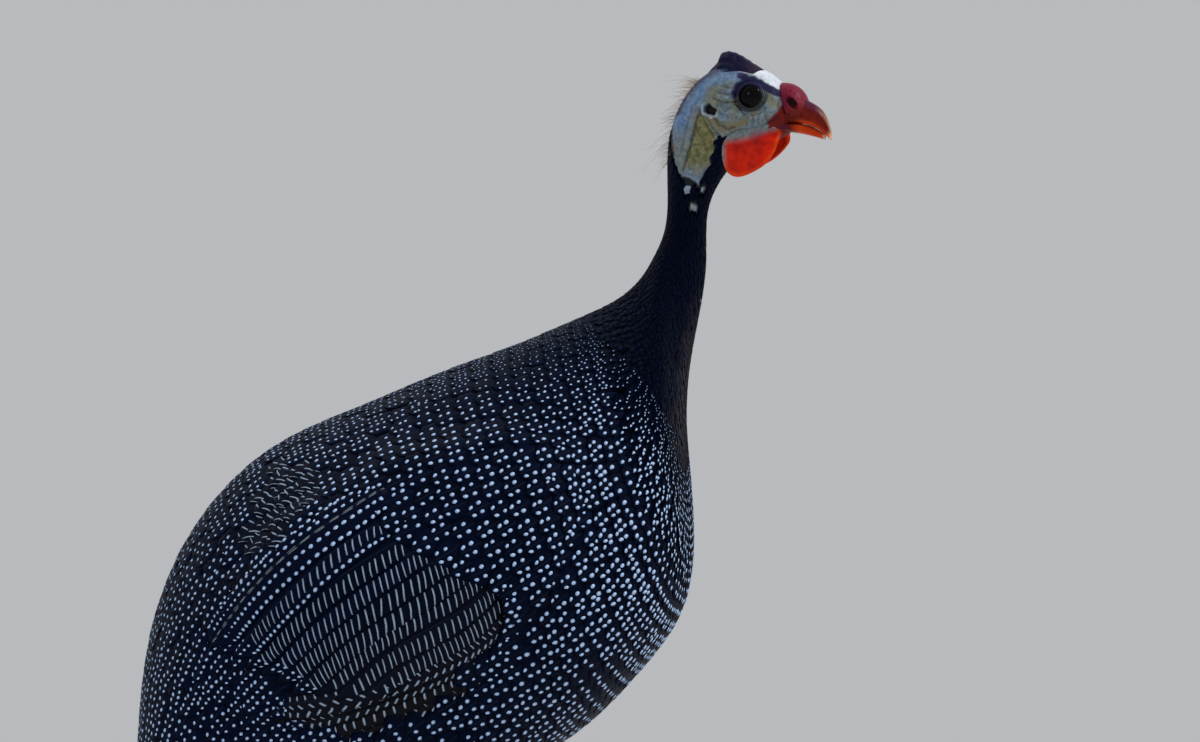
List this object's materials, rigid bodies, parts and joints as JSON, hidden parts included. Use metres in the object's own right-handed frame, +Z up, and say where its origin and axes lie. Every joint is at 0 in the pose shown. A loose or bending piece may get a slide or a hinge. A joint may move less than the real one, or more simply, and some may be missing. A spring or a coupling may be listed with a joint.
{
  "type": "helmeted guinea fowl",
  "caption": "Still, life-size helmeted guinea fowl in pearl plumage, standing on both feet, neck upright, head turned a little to its right.",
  "frame": {"origin": "on the floor, under the middle of the whole bird's box", "axes": "+Z up; the body faces +X; +Y is the bird's left"},
  "size_m": [0.353, 0.1688, 0.495],
  "materials": {
    "plumage": "dark slate feathers with white spots, soft sheen",
    "neck_feathers": "short dark feathers, plain",
    "face_skin": "bare wrinkled pale blue-white skin",
    "helmet_horn": "dark brown horn, satin",
    "cere_skin": "dark red soft skin, satin",
    "bill_horn": "red to horn-coloured, satin",
    "wattle_skin": "orange-red skin, satin",
    "eye": "dark brown, glossy",
    "leg_scales": "dark grey scutes, satin",
    "claw_horn": "dark horn, satin"
  },
  "bodies": {
    "root": {"bill_lower": "bill_horn", "bill_upper": "bill_horn", "cere": "cere_skin", "claw_hind_left": "claw_horn", "claw_hind_right": "claw_horn", "claw_inner_left": "claw_horn", "claw_inner_right": "claw_horn", "claw_middle_left": "claw_horn", "claw_middle_right": "claw_horn", "claw_outer_left": "claw_horn", "claw_outer_right": "claw_horn", "eye_left": "eye", "eye_right": "eye", "head": "face_skin", "helmet": "helmet_horn", "neck_lower": "neck_feathers", "neck_upper": "neck_feathers", "shank_left": "leg_scales", "shank_right": "leg_scales", "tail": "plumage", "thigh_left": "plumage", "thigh_right": "plumage", "toe_hind_left": "leg_scales", "toe_hind_right": "leg_scales", "toe_inner_left": "leg_scales", "toe_inner_right": "leg_scales", "toe_middle_left": "leg_scales", "toe_middle_right": "leg_scales", "toe_outer_left": "leg_scales", "toe_outer_right": "leg_scales", "trunk": "plumage", "wattle_left": "wattle_skin", "wattle_right": "wattle_skin", "wing_left": "plumage", "wing_right": "plumage"}
  },
  "joints": []
}
